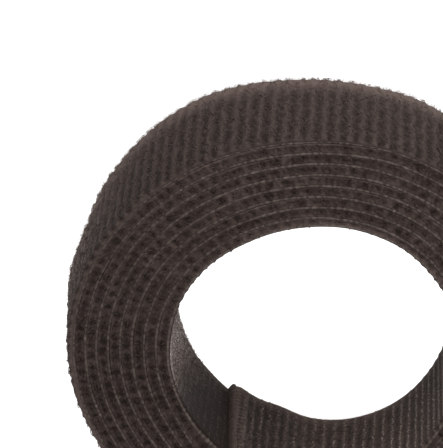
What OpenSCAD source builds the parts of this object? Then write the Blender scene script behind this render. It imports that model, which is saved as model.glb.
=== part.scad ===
// Roll of back-to-back hook and loop cable tie, wound hook side in.
// One length of tape stands on its rim: +Z is up, the roll's axis runs along Y and
// the front end face looks toward -Y. The origin is the middle of the underside.
// Angles round the axis start at +X and go up over the top, as seen from the front.

/* [Tape] */
// Width of the tape, which is also the length of the roll
tape_width = 20; // [10:0.5:40]
// Thickness of the woven ground between the two faces
ground_t = 0.35; // [0.3:0.05:0.8]
// Height of the ribbed loop pile on the outer face
loop_h = 0.85; // [0.6:0.05:1.2]
// Height of the fine hook rows on the inner face
hook_h = 0.3; // [0.2:0.05:0.8]
// Spacing of the loop ribs and of the hook rows along the tape
row_pitch = 1.5; // [1.4:0.1:4]
// Depth of the grooves between the loop ribs
groove_depth = 0.45; // [0.2:0.05:0.6]

/* [Roll] */
// Radius of the hole where the tape starts, to the tips of the hook rows
hole_r = 18.9; // [16:0.5:40]
// Turns of tape in the roll
turns = 9.4; // [2:0.1:9.6]
// Gap between a turn's hook rows and the loops of the turn inside it
turn_gap = 0.1; // [0.1:0.05:0.3]
// Angle round the axis of the tape's inner end
inner_end = 228; // [200:1:250]

/* [Soft shape] */
// How far the wound roll is out of round along its long axis
oval = 0.7; // [0:0.1:1.2]
// Angle round the axis of the long axis
oval_angle = 126; // [90:1:140]
// Height of the roll's three blunt corners
corner = 0.5; // [0:0.05:0.6]
// Angle round the axis of the first blunt corner
corner_angle = 51; // [0:1:115]
// How far the far side of the innermost turn is pressed out into the turn round it
inner_press = 0.6; // [0:0.1:0.6]
// Depth of the flat spot that the soft roll settles onto
flat_depth = 0.5; // [0.2:0.05:0.55]

/* [Hidden] */

// Each turn adds one thickness of tape and the gap under it.
tape_t = ground_t + loop_h + hook_h;
turn_pitch = tape_t + turn_gap;
growth = turn_pitch / 360;
wound_angle = 360 * turns;

// The ground's inner side is where the hook rows stand.
ground_r = hole_r + hook_h;
degree = PI / 180;
growth_rad = growth / degree;
tape_length = ground_r * wound_angle * degree + growth_rad * pow(wound_angle * degree, 2) / 2;
rows = floor(tape_length / row_pitch);

// The flat crest of a loop rib on the outside runs between these shares of the pitch.
crest_start = 0.35;
crest_end = 0.75;
// In the roll the hooks are full of loops, so the hook side there needs few points.
covered_step = 6;

// Angle wound on from the inner end after a length of tape.
function angle_at(length) =
    (sqrt(pow(ground_r, 2) + 2 * growth_rad * length) - ground_r) / growth_rad / degree;

// Radius of the ground's inner side at an angle wound on from the inner end.
function ground_at(wound) =
    let (a = inner_end + wound, first_turn = min(wound, 360))
    ground_r + growth * wound
    + oval * cos(2 * (a - oval_angle))
    + corner * cos(3 * (a - corner_angle))
    + inner_press * pow(sin(first_turn / 2), 4);

// Height of the loops: free on the last turn, elsewhere up to the turn round them.
covered_angle = wound_angle - 360;
function crest_at(wound) =
    wound > covered_angle
    ? ground_t + loop_h
    : ground_at(wound + 360) - ground_at(wound) - hook_h - turn_gap;

// Point of the section, a height above the ground's inner side.
function wound_point(wound, height) =
    let (a = inner_end + wound, r = ground_at(wound) + height)
    [r * cos(a), r * sin(a)];

// Loop side: at each row a groove, then a rib, which has a flat crest in the open.
loop_side = [
    for (i = [0 : rows - 1])
        let (is_open = angle_at(i * row_pitch) > covered_angle)
        for (share = is_open ? [0, crest_start, crest_end] : [0, 0.5])
            let (wound = angle_at((i + share) * row_pitch), crest = crest_at(wound))
            wound_point(wound, share == 0 ? max(ground_t, crest - groove_depth) : crest)
];

// Hook side: rows of teeth round the hole, then a plain layer that is sunk in loops.
open_length = ground_r * 2 * PI + growth_rad * pow(2 * PI, 2) / 2;
open_hooks = [
    for (i = [0 : 2 * floor(open_length / row_pitch)])
        wound_point(angle_at(i * row_pitch / 2), i % 2 == 0 ? 0 : -hook_h)
];
sunk_hooks = [
    for (wound = [360 + covered_step : covered_step : wound_angle - covered_step / 2])
        wound_point(wound, -hook_h)
];
hook_side = concat(open_hooks, sunk_hooks, [wound_point(wound_angle, -hook_h)]);

// The section's underside is pressed level where the roll stands.
outer_side = concat(loop_side, [wound_point(wound_angle, ground_t + loop_h)]);
seat_z = min([for (p = outer_side) p.y]) + flat_depth;
section = concat(
    [for (p = outer_side) [p.x, max(p.y, seat_z)]],
    [for (i = [len(hook_side) - 1 : -1 : 0]) hook_side[i]]);
mid_x = (min([for (p = section) p.x]) + max([for (p = section) p.x])) / 2;

module tape_roll() {
    color([0.2, 0.17, 0.16])
        translate([-mid_x, tape_width / 2, -seat_z])
            rotate([90, 0, 0])
                linear_extrude(height = tape_width)
                    polygon(section);
}

tape_roll();
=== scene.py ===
"""Roll of back-to-back hook and loop tape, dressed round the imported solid.

The tape is modelled flat, in tape space, and then wound. A point in tape space is
(s, h, y): s along the tape from its inner end, h above the inner side of the woven
ground (the loops are on the + side, the hooks on the - side) and y across the tape,
from its front edge to its back one. Sizes are in millimetres until MM turns them
into metres. Angles round the roll start at +X and go up over the top.
"""
import math

import bpy
import numpy as np
from mathutils import Matrix, Vector


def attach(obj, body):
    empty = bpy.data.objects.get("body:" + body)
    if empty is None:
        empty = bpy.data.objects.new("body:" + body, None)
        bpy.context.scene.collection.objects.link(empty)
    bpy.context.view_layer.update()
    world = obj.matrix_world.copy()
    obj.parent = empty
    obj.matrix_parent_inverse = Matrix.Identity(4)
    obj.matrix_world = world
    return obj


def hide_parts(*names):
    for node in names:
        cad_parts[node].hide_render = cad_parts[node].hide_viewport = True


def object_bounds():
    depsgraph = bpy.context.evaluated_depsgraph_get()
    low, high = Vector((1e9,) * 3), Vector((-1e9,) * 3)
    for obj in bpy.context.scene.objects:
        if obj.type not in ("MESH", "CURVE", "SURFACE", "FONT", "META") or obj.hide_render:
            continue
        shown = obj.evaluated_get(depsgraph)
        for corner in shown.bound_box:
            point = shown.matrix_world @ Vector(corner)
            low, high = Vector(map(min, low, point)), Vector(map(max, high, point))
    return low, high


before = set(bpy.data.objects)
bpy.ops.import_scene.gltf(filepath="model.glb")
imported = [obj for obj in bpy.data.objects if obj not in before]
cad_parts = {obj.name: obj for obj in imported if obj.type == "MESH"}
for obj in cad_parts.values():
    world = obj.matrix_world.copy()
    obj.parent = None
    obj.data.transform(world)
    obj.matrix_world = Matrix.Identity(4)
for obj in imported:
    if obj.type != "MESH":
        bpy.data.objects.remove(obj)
cad_low, cad_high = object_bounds()
MM = 0.001

# --- The tape and the roll, as in the part's source ---------------------------------
TAPE_WIDTH = 20.0
GROUND_T = 0.35
LOOP_H = 0.85
HOOK_H = 0.3
TURN_GAP = 0.1
HOLE_R = 18.9
TURNS = 9.4
INNER_END = math.radians(228)
# The roll is out of round: longer along one axis, with three blunt corners.
OVAL = 0.7
OVAL_ANGLE = math.radians(126)
CORNER = 0.5
CORNER_ANGLE = math.radians(51)
# How far the far side of the first turn is pressed out
INNER_PRESS = 0.6

# --- What this model adds to them ---------------------------------------------------
# Spacing of the loop ribs and of the hook rows, their slant (how far they run along
# the tape for each millimetre across it) and the first rib's place in its pitch
RIB_PITCH = 1.7
RIB_SLANT = -0.055
FIRST_RIB = 0.55
HOOK_PITCH = 1.4
HOOK_SLANT = 0.07
# How far the tip of the inner end is pressed out, the angle over which that dies
# away, and the length that is trimmed off
END_PRESS = 1.6
END_SLOPE = math.radians(8)
END_TRIM = 1.2
# Dents and bumps of the soft roll. Each has its height at the front edge, what is
# added at the back edge, and its middle and spread in degrees round the roll.
OUTER_DENTS = (
    (0.25, 0.55, 118, 18),
    (0.0, -0.15, 78, 10),
    (0.0, 0.7, 178, 9),
    (0.0, -0.5, 160, 9),
    (0.0, -0.55, 203, 9),
    (0.0, 0.25, 64, 8),
    (-0.3, 0.0, 202, 11),
)
INNER_DENTS = (
    (-0.15, 0.0, 120, 50),
    (0.3, 0.0, 20, 10),
    (-0.3, 0.0, 172, 24),
)
# How the turns lift on their way to the step over the inner end, in the same form
END_LIFT = (
    (0.7, 3.2, 218.5, 7),
    (0.0, 0.95, 231, 6),
)
# Wander of the turns' radius and of the tape's edges: pairs of a wave's length along
# the tape and its height
RADIUS_WANDER = ((23.0, 0.03), (9.1, 0.02))
EDGE_WANDER = ((171.0, 0.10), (61.0, 0.06), (17.0, 0.03))
# Middle of the hole's worn patch, where a highlight is painted, at the front edge,
# in degrees round the roll
WORN_SHEEN_ANGLE = 177

# --- Sizes worked out from these ----------------------------------------------------
HALF_WIDTH = TAPE_WIDTH / 2
PILE_EDGE = HALF_WIDTH - 0.05
HOOK_EDGE = HALF_WIDTH - 0.15
CREST_H = GROUND_T + LOOP_H
GROUND_R = HOLE_R + HOOK_H
TURN_PITCH = GROUND_T + LOOP_H + HOOK_H + TURN_GAP
GROWTH = TURN_PITCH / (2 * math.pi)
WOUND = 2 * math.pi * TURNS
COVERED = WOUND - 2 * math.pi


def length_at(wound):
    """Length of tape wound on up to an angle in radians from the inner end."""
    return GROUND_R * wound + GROWTH * wound**2 / 2


def angle_at(s):
    """Angle wound on after a length of tape."""
    return (np.sqrt(GROUND_R**2 + 2 * GROWTH * np.asarray(s, float)) - GROUND_R) / GROWTH


# The hooks are open up to the end of the first turn, and the loops on the last turn.
TAPE_LENGTH = length_at(WOUND)
OPEN_INSIDE = length_at(2 * math.pi)
OPEN_OUTSIDE = length_at(COVERED)


# --- Shape of the roll --------------------------------------------------------------
def ramp(value, start, end):
    """Zero up to start, one from end on, and straight between them."""
    return np.clip((value - start) / (end - start), 0, 1)


def bulge(a, middle, spread):
    """One at an angle in degrees, falling off smoothly on both sides."""
    off = (np.degrees(a) - middle + 180) % 360 - 180
    return np.exp(-(off / spread)**2)


def waves(s, seed, scales):
    """Smooth uneven wander along the tape, from a few sines of unrelated lengths."""
    rng = np.random.default_rng(seed)
    total = np.zeros_like(np.asarray(s, float))
    for length, size in scales:
        total += size * np.sin(2 * math.pi * (np.asarray(s) / length + rng.random()))
    return total


def angle_round(s):
    """Angle round the roll, in radians, at a length of tape."""
    return INNER_END + angle_at(s)


def towards_back(y):
    """Zero at the tape's front edge and one at its back edge."""
    return (y + HALF_WIDTH) / TAPE_WIDTH


def radius_at(wound):
    """Radius of the ground's inner side at an angle wound on from the inner end."""
    a = INNER_END + wound
    press = INNER_PRESS * np.sin(np.minimum(wound, 2 * math.pi) / 2)**4
    press += END_PRESS * ramp(wound, END_SLOPE, 0)**1.5
    return (GROUND_R + GROWTH * wound + press + OVAL * np.cos(2 * (a - OVAL_ANGLE))
            + CORNER * np.cos(3 * (a - CORNER_ANGLE)))


# The roll's axis in the row frame: the last turn's outline fills the CAD box.
last_turn = np.linspace(COVERED, WOUND, 721)
outline_r = radius_at(last_turn) + CREST_H
outline_x = outline_r * np.cos(INNER_END + last_turn)
outline_z = outline_r * np.sin(INNER_END + last_turn)
AXIS_X = (cad_low.x + cad_high.x) / 2 / MM - (outline_x.min() + outline_x.max()) / 2
AXIS_Z = cad_high.z / MM - outline_z.max()


def dents(table, a, back):
    """Sum of a table's dents and bumps at an angle round the roll.

    Back is 0 at the tape's front edge and 1 at its back edge.
    """
    return sum((front + added * back) * bulge(a, middle, spread)
               for front, added, middle, spread in table)


def slack(r, a, y):
    """How far the soft roll departs from a straight cylinder, mostly at its back."""
    back = towards_back(y)
    # The outer dents grow from the middle turns outward, and the inner ones inward.
    outward = ramp(r, 26, 34)**2
    inward = ramp(r, 27, 19)
    # The back of the hole is set off towards the lower right.
    hole_offset = 0.95 * back * np.cos(a - math.radians(-40))
    # The turns lift on their way over the inner end, and the end itself hardly does.
    over_end = dents(END_LIFT, a, back) * ramp(r, 19.7, 20.6)
    inner = hole_offset + dents(INNER_DENTS, a, back) + over_end
    # A little past its inner end the tape bulges into the hole.
    into_hole = 0.62 * bulge(a, 256, 9) * ramp(r, 21.5, 20)
    return dents(OUTER_DENTS, a, back) * outward + inner * inward - into_hole


def wind(s, h, y):
    """Points in tape space wound into the roll, in metres in the row frame."""
    s, h, y = np.broadcast_arrays(*(np.asarray(v, float) for v in (s, h, y)))
    a = angle_round(s)
    r = radius_at(angle_at(s)) + h + waves(s, 3, RADIUS_WANDER)
    r = r + slack(r, a, y)
    side = y + waves(s, 5, EDGE_WANDER)
    # The underside is pressed level where the roll stands.
    z = np.maximum(AXIS_Z + r * np.sin(a), 0)
    return np.stack((AXIS_X + r * np.cos(a), side, z), -1) * MM


# --- Mesh building ------------------------------------------------------------------
FIBRE_SIDES = 3


def make_piece(name, verts, faces, material, tint):
    """One mesh object from arrays; faces is a list of (n, corners) index arrays."""
    mesh = bpy.data.meshes.new(name)
    verts = np.asarray(verts, np.float32).reshape(-1, 3)
    corners = np.concatenate([f.reshape(-1) for f in faces]).astype(np.int32)
    sizes = np.concatenate([np.full(len(f), f.shape[1]) for f in faces]).astype(np.int32)
    starts = np.concatenate(([0], np.cumsum(sizes)[:-1])).astype(np.int32)
    mesh.vertices.add(len(verts))
    mesh.vertices.foreach_set("co", verts.reshape(-1))
    mesh.loops.add(len(corners))
    mesh.loops.foreach_set("vertex_index", corners)
    mesh.polygons.add(len(sizes))
    mesh.polygons.foreach_set("loop_start", starts)
    mesh.polygons.foreach_set("loop_total", sizes)
    mesh.polygons.foreach_set("use_smooth", np.ones(len(sizes), bool))
    layer = mesh.attributes.new("tint", "FLOAT", "POINT")
    layer.data.foreach_set("value", np.asarray(tint, np.float32).reshape(-1))
    mesh.update()
    mesh.validate()
    mesh.materials.append(material)
    piece = bpy.data.objects.new(name, mesh)
    bpy.context.scene.collection.objects.link(piece)
    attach(piece, "root")
    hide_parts("tape_roll")


def make_strip(name, s, h, y, material, tint, turned=False):
    """A solid strip from rings of points in tape space, its faces turned over if asked."""
    rings, points = h.shape
    here = np.arange(points)
    there = (here + 1) % points
    ring = points * np.arange(rings - 1)[:, None]
    quads = np.stack((ring + here, ring + there, ring + points + there,
                      ring + points + here), -1).reshape(-1, 4)
    first = here[::-1][None, :]
    last = (rings - 1) * points + here[None, :]
    faces = [quads, first, last]
    if turned:
        faces = [np.roll(face[:, ::-1], 1, axis=1) for face in faces]
    make_piece(name, wind(s, h, y), faces, material, tint)


def make_layer(name, grid_s, grid_y, face, material, tint, back_h, back_tint):
    """A strip with one modelled face, given as a grid of heights, and a flat back."""
    back = np.ones((len(face), 2))
    h = np.concatenate((face, back_h * back), 1)
    y = np.concatenate((grid_y, grid_y[:, [-1, 0]]), 1)
    tint = np.concatenate((tint, back_tint * back), 1)
    # With its face under its back, the outline runs the other way round.
    turned = face.mean() < back_h
    make_strip(name, grid_s[:, :1], h, y, material, tint, turned)


def make_fibres(name, s, h, y, material, tint, radius):
    """Closed tubes, each along one row of points in tape space and with one tint."""
    centres = wind(s, h, y)
    count, points = centres.shape[:2]
    radii = np.broadcast_to(np.asarray(radius) * MM, (count, points))
    along = np.gradient(centres, axis=1)
    along /= np.linalg.norm(along, axis=2, keepdims=True) + 1e-12
    # Any direction does to start the tube's outline, if the fibre doesn't follow it.
    hint = np.tile(np.array([0.31, 0.83, 0.46]), (count, 1))
    followed = np.abs((along.mean(1) * hint).sum(1)) > 0.9
    hint[followed] = np.array([0.8, -0.2, 0.5])
    across = np.cross(along, hint[:, None, :])
    across /= np.linalg.norm(across, axis=2, keepdims=True) + 1e-12
    up = np.cross(along, across)
    turn = 2 * math.pi * np.arange(FIBRE_SIDES) / FIBRE_SIDES
    spoke = (across[:, :, None, :] * np.cos(turn)[None, None, :, None]
             + up[:, :, None, :] * np.sin(turn)[None, None, :, None])
    verts = centres[:, :, None, :] + spoke * radii[:, :, None, None]
    base = np.arange(count)[:, None, None] * points * FIBRE_SIDES
    ring = base + np.arange(points - 1)[None, :, None] * FIBRE_SIDES
    here = np.arange(FIBRE_SIDES)
    there = (here + 1) % FIBRE_SIDES
    quads = np.stack((ring + here, ring + there, ring + FIBRE_SIDES + there,
                      ring + FIBRE_SIDES + here), -1).reshape(-1, 4)
    first = base[:, 0, :] + here[::-1]
    last = base[:, 0, :] + (points - 1) * FIBRE_SIDES + here
    tint = np.repeat(tint, points * FIBRE_SIDES)
    make_piece(name, verts, [quads, first, last], material, tint)


def arches(heading, span, tall, points):
    """Arched fibres, as offsets along their zero heading, across it and up.

    Span is half the distance from foot to foot, and tall is the arch's height.
    """
    t = np.linspace(-1, 1, points)
    ahead = np.cos(heading)[:, None] * span[:, None] * t
    aside = np.sin(heading)[:, None] * span[:, None] * t
    up = tall[:, None] * (1 - t**2)
    return ahead, aside, up


# --- Materials ----------------------------------------------------------------------
SHEEN_ROUGHNESS = 0.12
SHEEN_TINT = (1.0, 0.82, 0.76, 1.0)
GLOSS_TINT = (1.0, 0.88, 0.83, 1.0)
# How much of a yarn's mottling is added to its tint, and the tint that stays dark
GRAIN_SHARE = 0.4
DARK_UP_TO = 0.15
# Depth of the bumps of a yarn, in millimetres
RELIEF = 0.1
# How quickly grazing gloss comes up towards an outline: a power of the slant
GRAZE_POWER = 13


def srgb(r, g, b):
    """A colour given as 0 to 255 screen values, made linear for a shader."""
    linear = [c / 12.92 if c <= 0.04045 else ((c + 0.055) / 1.055)**2.4
              for c in (r / 255, g / 255, b / 255)]
    return (*linear, 1.0)


def math_node(nodes, operation, *constants):
    """A maths node; the constants are its inputs from the second one on."""
    node = nodes.new("ShaderNodeMath")
    node.operation = operation
    for socket, value in zip(node.inputs[1:], constants):
        socket.default_value = value
    return node


def yarn_material(name, dark, light, roughness, bump, spec=0.1, graze=0.0, sheen=0.0, grain=0.5):
    """Dyed nylon: colour runs from dark to light by the tint attribute and by grain.

    Grain is the size of the mottling in millimetres. With graze, gloss is added where
    the surface is looked at along itself.
    """
    material = bpy.data.materials.new(name)
    material.use_nodes = True
    nodes, links = material.node_tree.nodes, material.node_tree.links
    shader = nodes["Principled BSDF"]
    shader.inputs["Roughness"].default_value = roughness
    shader.inputs["Specular IOR Level"].default_value = spec
    shader.inputs["Specular Tint"].default_value = GLOSS_TINT
    shader.inputs["Sheen Weight"].default_value = sheen
    shader.inputs["Sheen Roughness"].default_value = SHEEN_ROUGHNESS
    shader.inputs["Sheen Tint"].default_value = SHEEN_TINT
    place = nodes.new("ShaderNodeTexCoord")
    mottling = nodes.new("ShaderNodeTexNoise")
    mottling.inputs["Scale"].default_value = 1 / (grain * MM)
    mottling.inputs["Detail"].default_value = 3
    tint = nodes.new("ShaderNodeAttribute")
    tint.attribute_name = "tint"
    both = math_node(nodes, "MULTIPLY_ADD", GRAIN_SHARE)
    shades = nodes.new("ShaderNodeValToRGB")
    dark_stop, light_stop = shades.color_ramp.elements
    dark_stop.position = DARK_UP_TO
    dark_stop.color = dark
    light_stop.position = 1.0
    light_stop.color = light
    relief = nodes.new("ShaderNodeBump")
    relief.inputs["Strength"].default_value = bump
    relief.inputs["Distance"].default_value = RELIEF * MM
    links.new(place.outputs["Object"], mottling.inputs["Vector"])
    links.new(mottling.outputs["Fac"], both.inputs[0])
    links.new(tint.outputs["Fac"], both.inputs[2])
    links.new(both.outputs[0], shades.inputs["Fac"])
    links.new(shades.outputs["Color"], shader.inputs["Base Color"])
    links.new(mottling.outputs["Fac"], relief.inputs["Height"])
    links.new(relief.outputs["Normal"], shader.inputs["Normal"])
    if graze:
        slant = nodes.new("ShaderNodeLayerWeight")
        slant.inputs["Blend"].default_value = 0.5
        steep = math_node(nodes, "POWER", GRAZE_POWER)
        gloss = math_node(nodes, "MULTIPLY_ADD", graze, spec)
        links.new(slant.outputs["Facing"], steep.inputs[0])
        links.new(steep.outputs[0], gloss.inputs[0])
        links.new(gloss.outputs[0], shader.inputs["Specular IOR Level"])
    return material


SELVEDGE = yarn_material("selvedge", srgb(38, 31, 28), srgb(77, 68, 64), roughness=0.6, bump=0.3,
                         spec=0.15, grain=0.4)
PACKED = yarn_material("packed_pile", srgb(25, 19, 17), srgb(79, 67, 63), roughness=0.9, bump=0.6)
PILE = yarn_material("loop_pile", srgb(27, 21, 19), srgb(88, 76, 72), roughness=0.9, bump=0.6,
                     graze=0.9)
LOOPS = yarn_material("loop_yarn", srgb(36, 29, 27), srgb(88, 76, 72), roughness=0.8, bump=0.2,
                      graze=0.5)
FUZZ = yarn_material("fuzz", srgb(56, 47, 44), srgb(150, 137, 131), roughness=0.8, bump=0.1)
# Strands of the worn patch, pale as a painted highlight
WORN_SHEEN = yarn_material("worn_sheen_yarn", srgb(66, 57, 54), srgb(190, 180, 175), roughness=0.6, bump=0.1,
                     spec=0.3)
BED = yarn_material("hook_bed", srgb(26, 20, 18), srgb(82, 70, 65), roughness=0.7, bump=0.5,
                    spec=0.05, graze=0.5, sheen=1.0)
HOOKS = yarn_material("hook_yarn", srgb(34, 27, 25), srgb(110, 97, 91), roughness=0.35, bump=0.2,
                      spec=0.2)


# --- Ribs, rows and wear of the tape, and its painted light and shade ---------------
def ridge(phase, width):
    """One at each whole number, falling to zero past a share of the pitch."""
    off = np.abs(phase - np.round(phase))
    return np.clip(1 - off / width, 0, 1)**0.8


def rib_phase(s, y):
    """Place among the loop ribs; a whole number is the middle of a crest."""
    return (s - RIB_SLANT * y) / RIB_PITCH - FIRST_RIB


def rib_height(s, y):
    """Height of the loop ribs from 0 to 1, uneven and split into strands."""
    phase = rib_phase(s, y)
    number = np.round(phase)
    phase = phase + 0.05 * np.sin(1.3 * y + 2.7 * number**2) + 0.03 * np.sin(3.1 * y - number)
    rib = 0.5 + 0.5 * np.cos(2 * math.pi * phase)
    strand = 0.5 + 0.5 * np.cos(4 * math.pi * phase + 1.3 * np.sin(1.1 * y + number))
    # Here and there a groove is shut by loops that lie across it.
    shut = 0.5 + 0.5 * np.sin(1.9 * y + 2.1 * number**2) * np.sin(0.7 * y - 1.7 * number)
    return np.maximum(rib**0.7, 0.75 * shut**2) * (0.75 + 0.25 * strand)


def painted_rim_sheen(s, y):
    """Painted rim light and sheen: how much paler the open pile is towards its back edge
    and down the roll's left side.
    """
    back = towards_back(y)
    a = angle_round(s)
    rim = ramp(y, HALF_WIDTH - 6.5, HALF_WIDTH)**2
    left = 0.25 * back * bulge(a, 160, 22) + 0.4 * bulge(a, 200, 25)
    return rim + 0.1 * (back - 1) + left


def combed_and_sheen(s, y):
    """Where the turn round the hole is worn: its hooks are combed open, most at the back.

    The same mask paints a highlight there.
    """
    back = towards_back(y)
    return (0.5 + 1.1 * back) * bulge(angle_round(s), WORN_SHEEN_ANGLE + 14 * back, 13 + 7 * back)


def pressed_and_shaded(s):
    """Where that turn runs under the inner end, which presses its hooks flat.

    The same mask paints shade there.
    """
    return ramp(np.degrees(angle_at(s)), 322, 334)


# --- The tape's parts ---------------------------------------------------------------
def woven_ground():
    """The ground: one long strip whose two edges are thin beads, the turned weft."""
    rng = np.random.default_rng(11)
    bead_r = 0.19
    arc = np.radians((-90, -30, 30, 90))
    s = np.arange(END_TRIM, TAPE_LENGTH, RIB_PITCH / 6)
    swell = 0.02 * np.cos(4 * math.pi * s / RIB_PITCH) + 0.02 * rng.standard_normal(len(s))
    height = GROUND_T / 2 + (bead_r + 0.5 * swell)[:, None] * np.sin(arc)
    reach = HALF_WIDTH - bead_r + (bead_r + swell)[:, None] * np.cos(arc)
    h = np.concatenate((height, height[:, ::-1]), 1)
    y = np.concatenate((-reach, reach[:, ::-1]), 1)
    # Painted glints: the bead is paler where it swells, about one point in 80 along the
    # edges is pale, and the turn round the hole is paler still, most where it is worn.
    glint = 0.2 + 0.3 * np.clip(swell / 0.03, -1, 1) + 0.6 * (rng.random(len(s)) < 0.012)
    worn_and_sheen = 0.15 + 0.9 * combed_and_sheen(s, -HALF_WIDTH) * rng.random(len(s))**2
    glint += worn_and_sheen * (s < OPEN_INSIDE)
    tint = np.repeat(glint[:, None], h.shape[1], 1)
    make_strip("woven_ground", s[:, None], h, y, SELVEDGE, tint)


def packed_pile():
    """Loop ribs between the turns, with the next turn's hooks sunk in their crests.

    At the tape's edges the pile is nearly flush, and the grooves between its ribs
    end in shallow pits under the next turn.
    """
    rng = np.random.default_rng(12)
    pit_depth = 0.2
    # Points of an edge from the ground to the next turn: the share of the way there,
    # the share of the pit's depth, how far they lie inside the tape's edge, the painted shade.
    edge_points = np.array((
        (0.20, 0.0, 0.20, 0.28),
        (0.28, 0.4, 0.10, 0.26),
        (0.42, 0.9, 0.16, 0.20),
        (0.55, 1.0, 0.20, 0.18),
        (0.68, 1.0, 0.22, 0.17),
        (0.82, 0.8, 0.20, 0.26),
        (0.99, 0.1, 0.14, 0.42),
    ))
    share, pit, sunk, shade = edge_points.T
    s = np.arange(END_TRIM, OPEN_OUTSIDE, RIB_PITCH / 6)
    next_turn = radius_at(angle_at(s) + 2 * math.pi) - radius_at(angle_at(s))
    next_turn = np.maximum(next_turn, GROUND_T + 0.1)
    sides = []
    tints = []
    for edge in (-1, 1):
        uneven = 0.65 + 0.6 * rng.random(len(s))
        rib = ridge(rib_phase(s, edge * HALF_WIDTH), 0.5)
        gap = ((1 - rib) * uneven)[:, None] * pit
        rough = 0.045 * rng.standard_normal(gap.shape)
        sides.append(edge * (HALF_WIDTH - sunk - pit_depth * gap + rough))
        patch = np.repeat(rng.standard_normal(len(s) // 2 + 1), 2)[:len(s)]
        # Painted shade, deeper in the pits, with random patches
        mottled_and_shaded = shade - 0.14 * gap + 0.06 * patch[:, None]
        tints.append(mottled_and_shaded + 0.08 * rng.standard_normal(gap.shape))
    y = np.concatenate((sides[0], sides[1][:, ::-1]), 1)
    h = next_turn[:, None] * np.concatenate((share, share[::-1]))
    tint = np.concatenate((tints[0], tints[1][:, ::-1]), 1)
    # The first turn is paler above the hole, and all have painted shade at the left.
    a = angle_round(s)
    over_hole = 0.3 * bulge(a, 70, 55) * (s < OPEN_INSIDE)
    tint += (over_hole - 0.08 * bulge(a, 190, 40))[:, None]
    make_strip("packed_pile", s[:, None], h, y, PACKED, tint)


def edge_fibres():
    """Stray loops of the pile that show between the turns at the two edges."""
    rng = np.random.default_rng(16)
    n = 6000
    feet_inside = 0.15
    s = END_TRIM + (OPEN_OUTSIDE - END_TRIM) * rng.random(n)
    edge = np.where(rng.random(n) < 0.5, -1.0, 1.0)
    # There is less room over the first turn, which is pressed out.
    room = TURN_PITCH - 0.5 * (s < OPEN_INSIDE)
    place = rng.random(n)
    foot = GROUND_T + (room - GROUND_T) * place
    heading = 1.2 * rng.standard_normal(n)
    span = 0.15 + 0.3 * rng.random(n)
    proud = 0.06 + 0.12 * rng.random(n)
    rise, run, out = arches(heading, span, proud, points=4)
    s = s[:, None] + run
    h = np.clip(foot[:, None] + rise, GROUND_T - 0.1, room[:, None])
    y = edge[:, None] * (HALF_WIDTH - feet_inside + out)
    # Painted shade: darker midway between the turns
    tint = 0.35 * rng.random(n) + 0.2 * (place - 0.5)**2
    make_fibres("edge_fibres", s, h, y, LOOPS, tint, radius=0.035)


def hook_rows():
    """The low ridges that the hooks stand on, on the turn round the hole."""
    rng = np.random.default_rng(17)
    s = np.arange(END_TRIM, OPEN_INSIDE + 3, HOOK_PITCH / 6)
    y = np.linspace(-HOOK_EDGE, HOOK_EDGE, 41)
    grid_s, grid_y = np.meshgrid(s, y, indexing="ij")
    worn_and_sheen = combed_and_sheen(grid_s, grid_y)
    flat = np.clip(worn_and_sheen + pressed_and_shaded(grid_s), 0, 1)
    row = ridge((grid_s - HOOK_SLANT * grid_y) / HOOK_PITCH, 0.4) * (1 - 0.8 * flat)
    bed_depth = 0.14
    row_depth = 0.1
    depth = bed_depth + row_depth * row + 0.02 * rng.standard_normal(row.shape)
    depth[:, [0, -1]] = 0
    # The weave shows as stripes, most of all by the inner end. The back edge is fused.
    near_end = ramp(grid_s, 4, 3)
    stripe = 0.5
    weave = (0.1 + 0.15 * near_end) * (np.round(grid_y / stripe) % 2)
    weave += 0.1 * rng.standard_normal(row.shape)
    fused = 0.06 * near_end + 0.5 * ramp(grid_y, HALF_WIDTH - 3, HALF_WIDTH)
    # Painted shade: darker between the rows than on their ridges
    tint = 0.3 * row * (0.5 + rng.random(row.shape)) + weave + fused
    # Painted highlight where the turn is worn
    tint += worn_and_sheen * (0.8 + 0.8 * rng.random(row.shape)**2)
    # Paler at the hole's lower right, and painted shade beside and under the inner end
    a = angle_round(grid_s)
    tint += 0.1 * bulge(a, 312, 22) - 0.12 * bulge(a, 248, 13) - 0.17 * pressed_and_shaded(grid_s)
    make_layer("hook_rows", grid_s, grid_y, -depth, BED, tint, back_h=0.12, back_tint=0.0)


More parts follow.
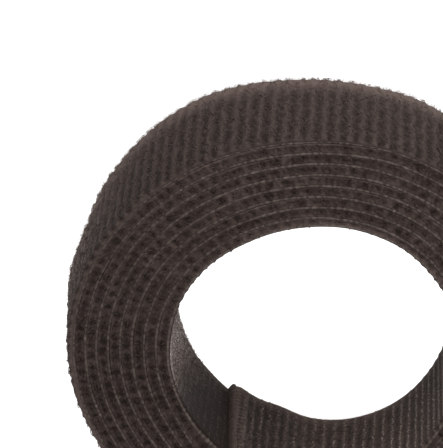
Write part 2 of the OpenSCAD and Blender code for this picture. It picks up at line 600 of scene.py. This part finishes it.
def open_hooks():
    """Small hooks on the turn round the hole, in rows across the tape."""
    rng = np.random.default_rng(14)
    # Points of a hook from its foot: share of its height, how far it is bent over, radius
    hook_points = np.array((
        (0.30, 0.00, 0.17),
        (0.75, 0.02, 0.16),
        (1.00, 0.10, 0.15),
        (0.95, 0.20, 0.13),
        (0.70, 0.26, 0.09),
    ))
    rise, bend, radius = hook_points.T
    pitch_across = 0.48
    rows = np.arange(2 * HOOK_PITCH, OPEN_INSIDE + 2, HOOK_PITCH)
    columns = np.arange(-HALF_WIDTH + 0.6, HALF_WIDTH - 0.55, pitch_across)
    grid_s, grid_y = np.meshgrid(rows, columns, indexing="ij")
    s, y = grid_s.reshape(-1), grid_y.reshape(-1)
    n = len(s)
    stray = 0.05 + 0.4 * combed_and_sheen(s, y)
    s = np.maximum(s + HOOK_SLANT * y + stray * rng.standard_normal(n), END_TRIM + 0.4)
    y = y + 0.06 * rng.standard_normal(n)
    facing = np.where(rng.random(n) < 0.5, -1.0, 1.0)
    worn_and_sheen = combed_and_sheen(s, y)
    flat = pressed_and_shaded(s)
    tall = HOOK_H * (0.75 + 0.25 * rng.random(n)) * (1 - 0.75 * flat)
    tall *= 1 - 0.5 * ramp(np.abs(y), 8.2, 9.2) * (1 + 0.6 * np.clip(worn_and_sheen, 0, 1))
    lean = 0.06 * rng.standard_normal(n)
    # Painted shade where the turn runs under the inner end
    tint = (0.08 + 0.5 * rng.random(n)**1.5) * (1 - 0.95 * flat)
    # Painted highlight where worn, paler at the lower right, and painted shade beside
    # the inner end, as on the bed
    a = angle_round(s)
    tint += 0.6 * worn_and_sheen + 0.2 * bulge(a, 312, 22) - 0.12 * bulge(a, 248, 13)
    s = s[:, None] + lean[:, None] * rise
    h = -tall[:, None] * rise
    y = y[:, None] + facing[:, None] * bend
    make_fibres("open_hooks", s, h, y, HOOKS, tint, radius)


def combed_fibres():
    """Loose strands where the turn round the hole is worn, painted pale as a highlight.

    Most lie towards the back, and a fifth of them along the front edge.
    """
    rng = np.random.default_rng(18)
    n = 3000
    off = 2 * (rng.random(n) + rng.random(n) - 1)
    in_front = rng.random(n) < 0.2
    front_edge = 0.9 * rng.random(n) - HALF_WIDTH
    anywhere = HALF_WIDTH * (2 * rng.random(n)**0.7 - 1)
    y = np.where(in_front, front_edge, anywhere)
    back = towards_back(y)
    a = np.radians(360 + WORN_SHEEN_ANGLE + 13 * back + (10 + 6 * back) * off)
    s = length_at(a - INNER_END)
    heading = 2 * math.pi * rng.random(n)
    span = 0.1 + 0.15 * rng.random(n)
    tall = (0.03 + 0.14 * rng.random(n)) * (1 - 0.9 * ramp(y, 8, 9))
    ahead, aside, up = arches(heading, span, tall, points=4)
    foot = -0.16
    s = s[:, None] + ahead
    h = foot - up
    y = np.clip(y[:, None] + aside, -HALF_WIDTH - 0.02, HALF_WIDTH - 0.1)
    # Painted highlight: paler towards the back, at the patch's middle and along the front edge
    tint = (0.4 + 1.1 * back) * rng.random(n)**1.3 * np.exp(-off**2)
    tint += 0.4 * in_front * rng.random(n) - 0.1 * off**2
    make_fibres("combed_fibres", s, h, y, WORN_SHEEN, tint, radius=0.03)


def open_pile():
    """Rough base of the loop pile on the outside of the last turn."""
    rng = np.random.default_rng(15)
    s = np.arange(OPEN_OUTSIDE, TAPE_LENGTH, RIB_PITCH / 8)
    y = np.linspace(-PILE_EDGE, PILE_EDGE, 60)
    grid_s, grid_y = np.meshgrid(s, y, indexing="ij")
    rib = rib_height(grid_s, grid_y)
    rough = 0.035 * rng.standard_normal(rib.shape)
    # The single loops and the fuzz make up the rest of the pile's height.
    groove_depth = 0.3
    rib_depth = 0.18
    edge_fall = 0.2 * ramp(np.abs(grid_y), HALF_WIDTH - 0.6, HALF_WIDTH)**2
    top = CREST_H - groove_depth + rib_depth * rib + rough - edge_fall
    # Painted shade: the grooves are darker than the crests; the painted rim sheen is added
    tint = 0.34 * rib + 0.02 + 0.05 * rng.standard_normal(rib.shape) + painted_rim_sheen(grid_s, grid_y)
    make_layer("open_pile", grid_s, grid_y, top, PILE, tint, back_h=GROUND_T - 0.1, back_tint=0.3)


def loop_yarns():
    """Loops lying on the crests of the open pile, most of them across the tape."""
    rng = np.random.default_rng(21)
    n = 5000
    tries = 4 * n
    s = OPEN_OUTSIDE + (TAPE_LENGTH - OPEN_OUTSIDE) * rng.random(tries)
    y = (2 * rng.random(tries) - 1) * (HALF_WIDTH - 0.2)
    keep = rng.random(tries) < 0.05 + 0.95 * rib_height(s, y)**1.5
    s, y = s[keep][:n], y[keep][:n]
    rib = rib_height(s, y)
    heading = math.pi / 2 + 0.35 * rng.standard_normal(n)
    span = 0.25 + 0.45 * rng.random(n)
    tall = 0.08 + 0.16 * rng.random(n)
    ahead, aside, up = arches(heading, span, tall, points=5)
    # Painted shade: loops on the crests are lighter; the painted rim sheen is added
    tint = 0.08 + 0.22 * rib + 0.25 * rng.random(n) + painted_rim_sheen(s, y)
    # Their feet are sunk a little in the base.
    foot = CREST_H - 0.32 + 0.15 * rib
    s = np.clip(s[:, None] + ahead, OPEN_OUTSIDE, TAPE_LENGTH)
    h = foot[:, None] + up
    y = np.clip(y[:, None] + aside, -PILE_EDGE, PILE_EDGE)
    make_fibres("loop_yarns", s, h, y, LOOPS, tint, radius=0.06)


def pile_fuzz():
    """Fine fibres standing off the open pile, thickest along its back edge."""
    rng = np.random.default_rng(22)
    n = 6500
    s = OPEN_OUTSIDE + (TAPE_LENGTH - OPEN_OUTSIDE) * rng.random(n)
    near_edge = HALF_WIDTH - rng.random(n)**1.5
    anywhere = (2 * rng.random(n) - 1) * HALF_WIDTH
    y = np.where(rng.random(n) < 0.5, near_edge, anywhere)
    y = np.clip(y, -HALF_WIDTH + 0.1, PILE_EDGE)
    heading = 2 * math.pi * rng.random(n)
    span = 0.1 + 0.25 * rng.random(n)
    tall = 0.15 + 0.3 * rng.random(n)
    ahead, aside, up = arches(heading, span, tall, points=5)
    # Paler where the painted rim sheen is
    tint = 0.3 * rng.random(n) + 1.6 * painted_rim_sheen(s, y)
    foot = CREST_H - 0.38 + 0.15 * rib_height(s, y)
    s = np.clip(s[:, None] + ahead, OPEN_OUTSIDE, TAPE_LENGTH)
    h = foot[:, None] + up
    y = np.clip(y[:, None] + aside, -HALF_WIDTH, HALF_WIDTH + 0.05)
    make_fibres("pile_fuzz", s, h, y, FUZZ, tint, radius=0.014)


def sealed_end(name, s_end, seed):
    """The heat-cut end of the tape: a low rounded bar of fused yarn."""
    rng = np.random.default_rng(seed)
    y = np.linspace(-PILE_EDGE, PILE_EDGE, 80)[:, None]
    half_thickness = 0.3
    low, high = -0.95 * HOOK_H, 0.78 * CREST_H
    mid, half_height = (low + high) / 2, (high - low) / 2
    # The section is nearly square: a circle's sine and cosine, drawn towards one.
    turn = np.radians(np.arange(0, 360, 20))
    squareness = 0.6
    across = np.sign(np.cos(turn)) * np.abs(np.cos(turn))**squareness
    through = np.sign(np.sin(turn)) * np.abs(np.sin(turn))**squareness
    uneven = 1 + 0.05 * rng.standard_normal(y.shape)
    h = mid + half_height * uneven * through
    s = s_end + half_thickness * uneven * across
    tint = 0.2 + 0.3 * rng.random(h.shape)
    make_strip(name, s, h, y, BED, tint)


woven_ground()
packed_pile()
edge_fibres()
hook_rows()
open_hooks()
combed_fibres()
open_pile()
loop_yarns()
pile_fuzz()
sealed_end("inner_end", END_TRIM + 0.1, seed=31)
sealed_end("outer_end", TAPE_LENGTH - 0.1, seed=32)


# --- Floor, light and camera --------------------------------------------------------
def seen_directly(nodes, links):
    """A socket that is 1 for what the camera or gloss sees, and 0 for what lights."""
    path = nodes.new("ShaderNodeLightPath")
    seen = math_node(nodes, "MAXIMUM")
    links.new(path.outputs["Is Camera Ray"], seen.inputs[0])
    links.new(path.outputs["Is Glossy Ray"], seen.inputs[1])
    return seen.outputs[0]


def white_ground():
    """A pale floor that shows as white to the camera but keeps the roll's shadow."""
    bpy.ops.mesh.primitive_plane_add(size=6)
    floor = bpy.context.object
    floor.name = "floor"
    material = bpy.data.materials.new("floor_white")
    material.use_nodes = True
    nodes, links = material.node_tree.nodes, material.node_tree.links
    shader = nodes["Principled BSDF"]
    shader.inputs["Base Color"].default_value = (0.7, 0.7, 0.7, 1)
    shader.inputs["Roughness"].default_value = 0.9
    shader.inputs["Emission Color"].default_value = (1, 1, 1, 1)
    glow = math_node(nodes, "MULTIPLY", 0.6)
    links.new(seen_directly(nodes, links), glow.inputs[0])
    links.new(glow.outputs[0], shader.inputs["Emission Strength"])
    floor.data.materials.append(material)


def white_world(level):
    """An even pale surround, seen as pure white by the camera and in gloss."""
    world = bpy.data.worlds.new("surround")
    bpy.context.scene.world = world
    world.use_nodes = True
    nodes, links = world.node_tree.nodes, world.node_tree.links
    background = nodes["Background"]
    background.inputs["Color"].default_value = (1, 1, 1, 1)
    strength = math_node(nodes, "MAXIMUM", level)
    links.new(seen_directly(nodes, links), strength.inputs[0])
    links.new(strength.outputs[0], background.inputs["Strength"])


def softbox(name, place, target, size, power):
    """A square area lamp aimed at a point, in metres and watts."""
    lamp = bpy.data.lights.new(name, "AREA")
    lamp.size = size
    lamp.energy = power
    holder = bpy.data.objects.new(name, lamp)
    holder.location = place
    holder.rotation_euler = (Vector(target) - Vector(place)).to_track_quat("-Z", "Y").to_euler()
    bpy.context.scene.collection.objects.link(holder)


def studio_camera():
    """A long lens in front of the roll and above it, looking past its upper left.

    The distance and the two shifts of its aim are in millimetres, from the middle of
    the hole's front.
    """
    elevation = math.radians(25.9)
    distance = 398.4
    aim_left = 13.35
    aim_up = 19.0
    hole_front = Vector((AXIS_X, -HALF_WIDTH, AXIS_Z)) * MM
    back = Vector((0, -math.cos(elevation), math.sin(elevation)))
    right = Vector((1, 0, 0))
    up = back.cross(right)
    place = hole_front + (back * distance - right * aim_left + up * aim_up) * MM
    turn = Matrix((right, up, back)).transposed()
    data = bpy.data.cameras.new("camera")
    data.sensor_width = 36
    data.lens = 231.4
    data.clip_start = 0.01
    camera = bpy.data.objects.new("camera", data)
    camera.matrix_world = Matrix.Translation(place) @ turn.to_4x4()
    bpy.context.scene.collection.objects.link(camera)
    bpy.context.scene.camera = camera


white_ground()
white_world(level=0.4)
roll_middle = (0, 0, 0.034)
softbox("key", (-0.1, -0.35, 0.8), roll_middle, size=0.4, power=5.0)
softbox("fill", (0.08, -0.16, 0.2), roll_middle, size=0.15, power=0.5)
studio_camera()
bpy.context.scene.view_settings.view_transform = "Standard"
